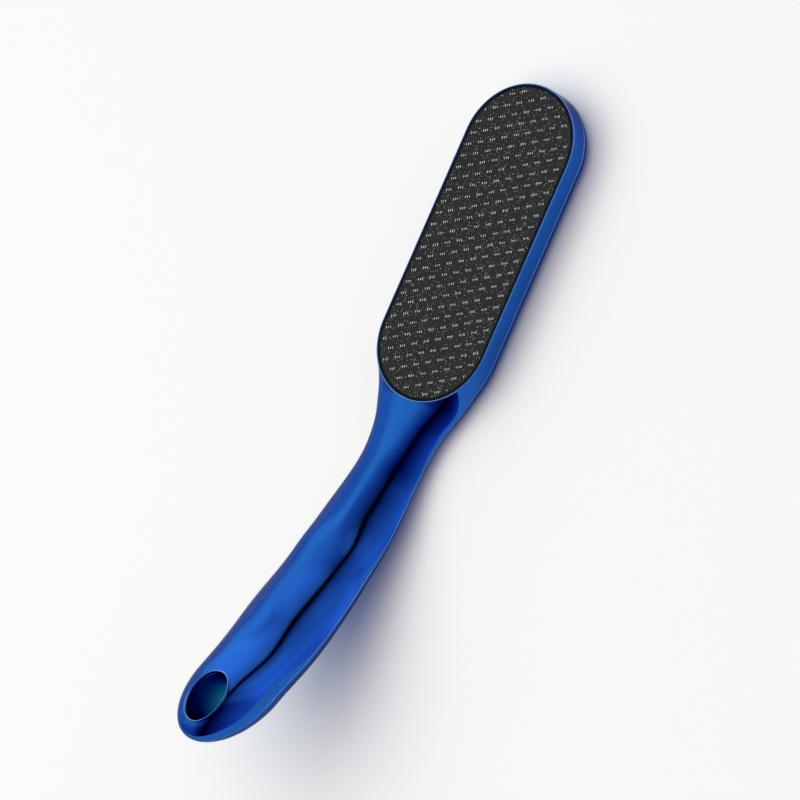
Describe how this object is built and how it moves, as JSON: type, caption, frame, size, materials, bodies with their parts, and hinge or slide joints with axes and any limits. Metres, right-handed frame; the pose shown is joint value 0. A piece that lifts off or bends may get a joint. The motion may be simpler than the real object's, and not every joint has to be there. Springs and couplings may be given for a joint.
{
  "type": "foot file",
  "caption": "Hand-held foot file: a long flat head with round ends carries a black abrasive plate, on a curved glossy blue handle with an oval hanging hole.",
  "frame": {"origin": "centre of the head's flat back, the face it rests on", "axes": "+X from the handle to the head's tip, +Z out of the abrasive plate, +Y across the head"},
  "size_m": [0.2599, 0.047, 0.0522],
  "materials": {
    "plated_shell": "metallic blue plating, mirror gloss",
    "abrasive": "black, etched teeth",
    "adhesive": "matt foam sheet"
  },
  "bodies": {
    "root": {"upper_shell": "plated_shell", "lower_shell": "plated_shell", "abrasive_plate": "abrasive", "plate_adhesive": "adhesive"}
  },
  "joints": []
}
